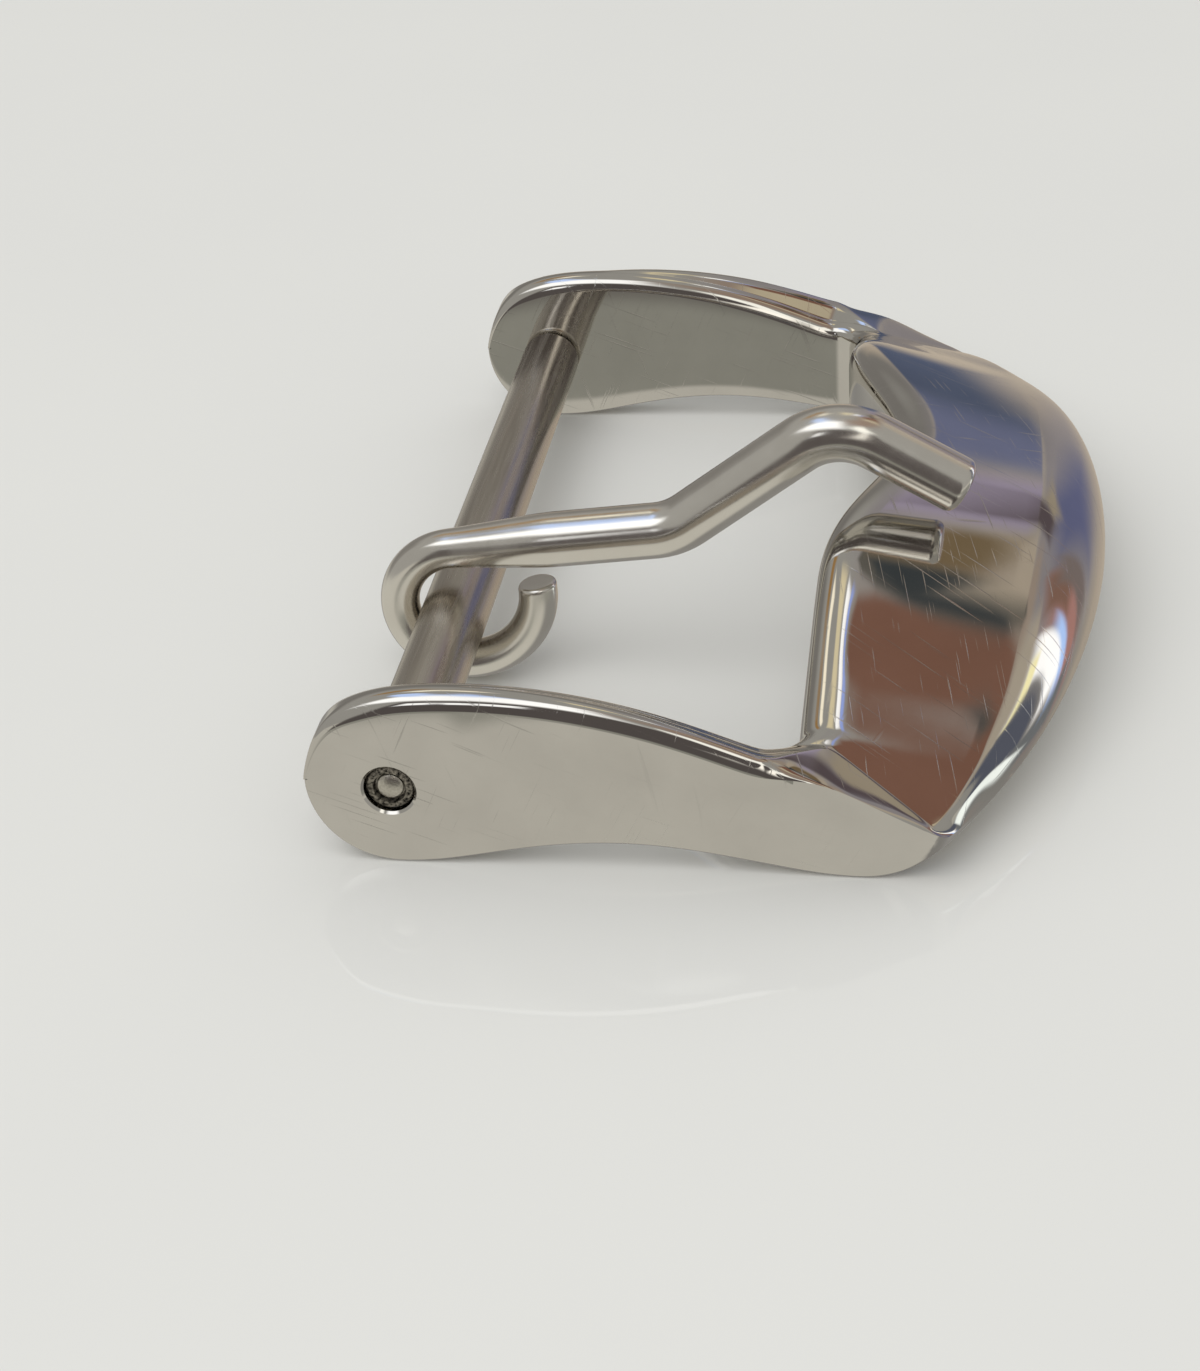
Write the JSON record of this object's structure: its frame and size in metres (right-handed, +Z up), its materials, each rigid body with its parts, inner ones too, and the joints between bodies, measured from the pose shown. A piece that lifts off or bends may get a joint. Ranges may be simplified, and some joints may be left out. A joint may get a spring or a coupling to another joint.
{
  "type": "watch buckle",
  "caption": "Polished steel pin buckle for a watch strap: flat arms carrying a wide arched bow, a bent wire tongue and a sprung bar.",
  "frame": {"origin": "middle of the spring bar's axis, halfway between the arms", "axes": "+X from the spring bar towards the bow, +Y across the strap along the spring bar, +Z up, away from the wrist"},
  "size_m": [0.0163, 0.023, 0.0069],
  "materials": {
    "frame_steel": "mirror-polished stainless steel with fine hairline scratches",
    "tongue_steel": "polished stainless steel wire",
    "bar_steel": "drawn and turned stainless steel, lightly worn",
    "spring_steel": "drawn spring wire"
  },
  "bodies": {
    "frame": {"frame": "frame_steel"},
    "bar": {"bar_barrel": "bar_steel", "bar_spring": "spring_steel"},
    "tongue": {"tongue": "tongue_steel"},
    "tip_near": {"bar_tip_near": "bar_steel"},
    "tip_far": {"bar_tip_far": "bar_steel"}
  },
  "joints": [
    {"name": "tongue_tilt", "type": "hinge", "parent": "frame", "child": "bar", "pos_m": [0, 0, 0], "axis": [0, -1, 0], "range_deg": [0, 150]},
    {"name": "tongue_slide", "type": "slide", "parent": "bar", "child": "tongue", "axis": [0, 1, 0], "range_m": [-0.0056, 0.0128]},
    {"name": "tip_near_press", "type": "slide", "parent": "bar", "child": "tip_near", "axis": [0, 1, 0], "range_m": [0, 0.001], "stiffness_N_per_m": 400, "springref_m": -0.0005, "deforming": ["bar_spring"]},
    {"name": "tip_far_press", "type": "slide", "parent": "bar", "child": "tip_far", "axis": [0, -1, 0], "range_m": [0, 0.001], "stiffness_N_per_m": 400, "springref_m": -0.0005, "deforming": ["bar_spring"]}
  ]
}
